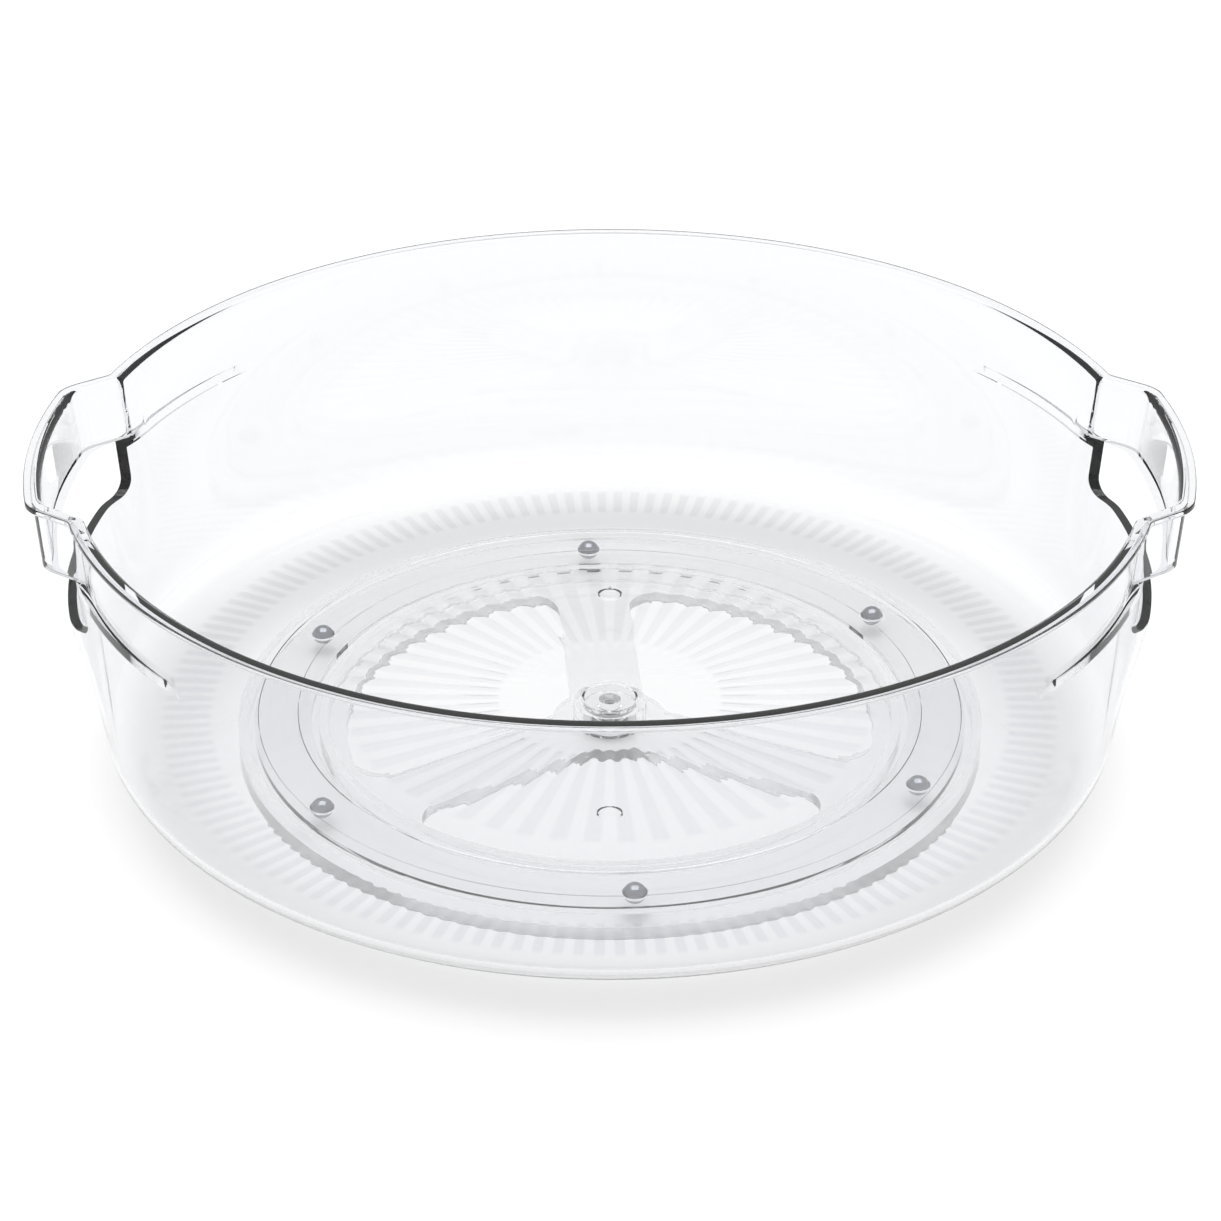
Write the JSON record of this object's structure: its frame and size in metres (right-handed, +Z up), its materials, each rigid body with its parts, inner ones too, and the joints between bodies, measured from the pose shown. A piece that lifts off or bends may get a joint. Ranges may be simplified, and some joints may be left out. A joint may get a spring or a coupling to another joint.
{
  "type": "lazy susan turntable",
  "caption": "Round clear plastic storage bin with two strap handles that turns on a ball-bearing base with a central pivot pin.",
  "frame": {"origin": "centre of the pivot axis on the surface that the base stands on", "axes": "+Z up along the pivot axis; X through the two handles"},
  "size_m": [0.311, 0.292, 0.0895],
  "materials": {
    "clear_bin": "clear polystyrene, gloss",
    "clear_base": "clear polystyrene, gloss",
    "clear_cage": "clear polystyrene, gloss",
    "clear_pin": "clear polystyrene, gloss",
    "washer": "natural acetal, satin",
    "ball_steel": "polished bearing steel"
  },
  "bodies": {
    "base": {"base": "clear_base", "thrust_washer": "washer"},
    "bin": {"bin": "clear_bin", "pivot_pin": "clear_pin"},
    "cage": {"ball_cage": "clear_cage"},
    "ball_1": {"ball_1": "ball_steel"},
    "ball_2": {"ball_2": "ball_steel"},
    "ball_3": {"ball_3": "ball_steel"},
    "ball_4": {"ball_4": "ball_steel"},
    "ball_5": {"ball_5": "ball_steel"},
    "ball_6": {"ball_6": "ball_steel"}
  },
  "joints": [
    {"name": "bin_spin", "type": "hinge", "parent": "base", "child": "bin", "pos_m": [0, 0, 0.006], "axis": [0, 0, 1], "continuous": true},
    {"name": "cage_spin", "type": "hinge", "parent": "base", "child": "cage", "pos_m": [0, 0, 0.0062], "axis": [0, 0, 1], "continuous": true},
    {"name": "ball_1_roll", "type": "hinge", "parent": "cage", "child": "ball_1", "pos_m": [-0.00642, 0.09178, 0.0062], "axis": [-0.0698, 0.9976, 0], "continuous": true},
    {"name": "ball_2_roll", "type": "hinge", "parent": "cage", "child": "ball_2", "pos_m": [-0.08269, 0.04033, 0.0062], "axis": [-0.8988, 0.4384, 0], "continuous": true},
    {"name": "ball_3_roll", "type": "hinge", "parent": "cage", "child": "ball_3", "pos_m": [-0.07627, -0.05145, 0.0062], "axis": [-0.829, -0.5592, 0], "continuous": true},
    {"name": "ball_4_roll", "type": "hinge", "parent": "cage", "child": "ball_4", "pos_m": [0.00642, -0.09178, 0.0062], "axis": [0.0698, -0.9976, 0], "continuous": true},
    {"name": "ball_5_roll", "type": "hinge", "parent": "cage", "child": "ball_5", "pos_m": [0.08269, -0.04033, 0.0062], "axis": [0.8988, -0.4384, 0], "continuous": true},
    {"name": "ball_6_roll", "type": "hinge", "parent": "cage", "child": "ball_6", "pos_m": [0.07627, 0.05145, 0.0062], "axis": [0.829, 0.5592, 0], "continuous": true}
  ],
  "couplings": [
    {"joint": "cage_spin", "follows": "bin_spin", "ratio": 0.5},
    {"joint": "ball_1_roll", "follows": "bin_spin", "ratio": -14.488},
    {"joint": "ball_2_roll", "follows": "bin_spin", "ratio": -14.488},
    {"joint": "ball_3_roll", "follows": "bin_spin", "ratio": -14.488},
    {"joint": "ball_4_roll", "follows": "bin_spin", "ratio": -14.488},
    {"joint": "ball_5_roll", "follows": "bin_spin", "ratio": -14.488},
    {"joint": "ball_6_roll", "follows": "bin_spin", "ratio": -14.488}
  ]
}
